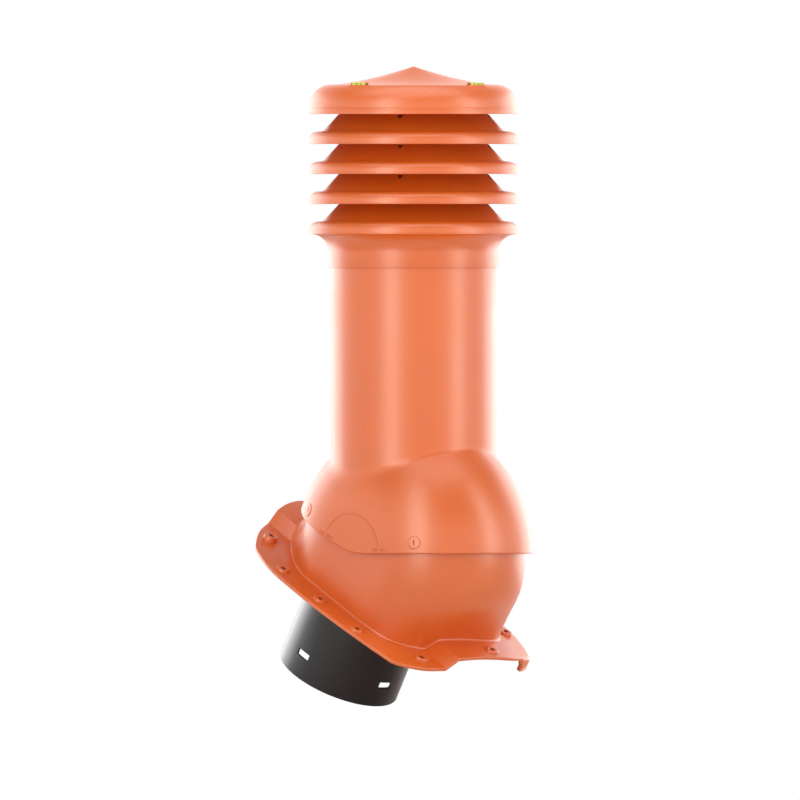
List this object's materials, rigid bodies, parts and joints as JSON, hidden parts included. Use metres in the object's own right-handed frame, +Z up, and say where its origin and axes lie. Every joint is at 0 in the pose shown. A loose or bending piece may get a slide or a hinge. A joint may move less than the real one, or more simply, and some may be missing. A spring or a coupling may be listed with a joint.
{
  "type": "roof ventilation chimney",
  "caption": "Roof ventilation chimney with a louvred head under a round cap, a straight tube, a rounded hood and a tilted flange with a duct pipe below it.",
  "frame": {"origin": "centre of the underside of the flange's flat band on the near side, where the flange lies on the roof", "axes": "+Z up along the tube, +X level and down the roof, -Y towards the near side; the flange is tilted 30 degrees about Y"},
  "size_m": [0.374, 0.2895, 0.7685],
  "materials": {
    "terracotta_plastic": "satin moulded plastic in tile orange",
    "black_plastic": "satin moulded plastic",
    "level_vial": "clear tube with yellow-green liquid"
  },
  "bodies": {
    "root": {"vent_cap": "terracotta_plastic", "level_vial_1": "level_vial", "level_vial_2": "level_vial", "louvre_ring_1": "terracotta_plastic", "louvre_ring_2": "terracotta_plastic", "louvre_ring_3": "terracotta_plastic", "head_collar": "terracotta_plastic", "hood": "terracotta_plastic", "hood_screw_1": "terracotta_plastic", "hood_screw_2": "terracotta_plastic", "hood_screw_3": "terracotta_plastic", "hood_screw_4": "terracotta_plastic", "flashing_base": "terracotta_plastic", "duct_pipe": "black_plastic"}
  },
  "joints": []
}
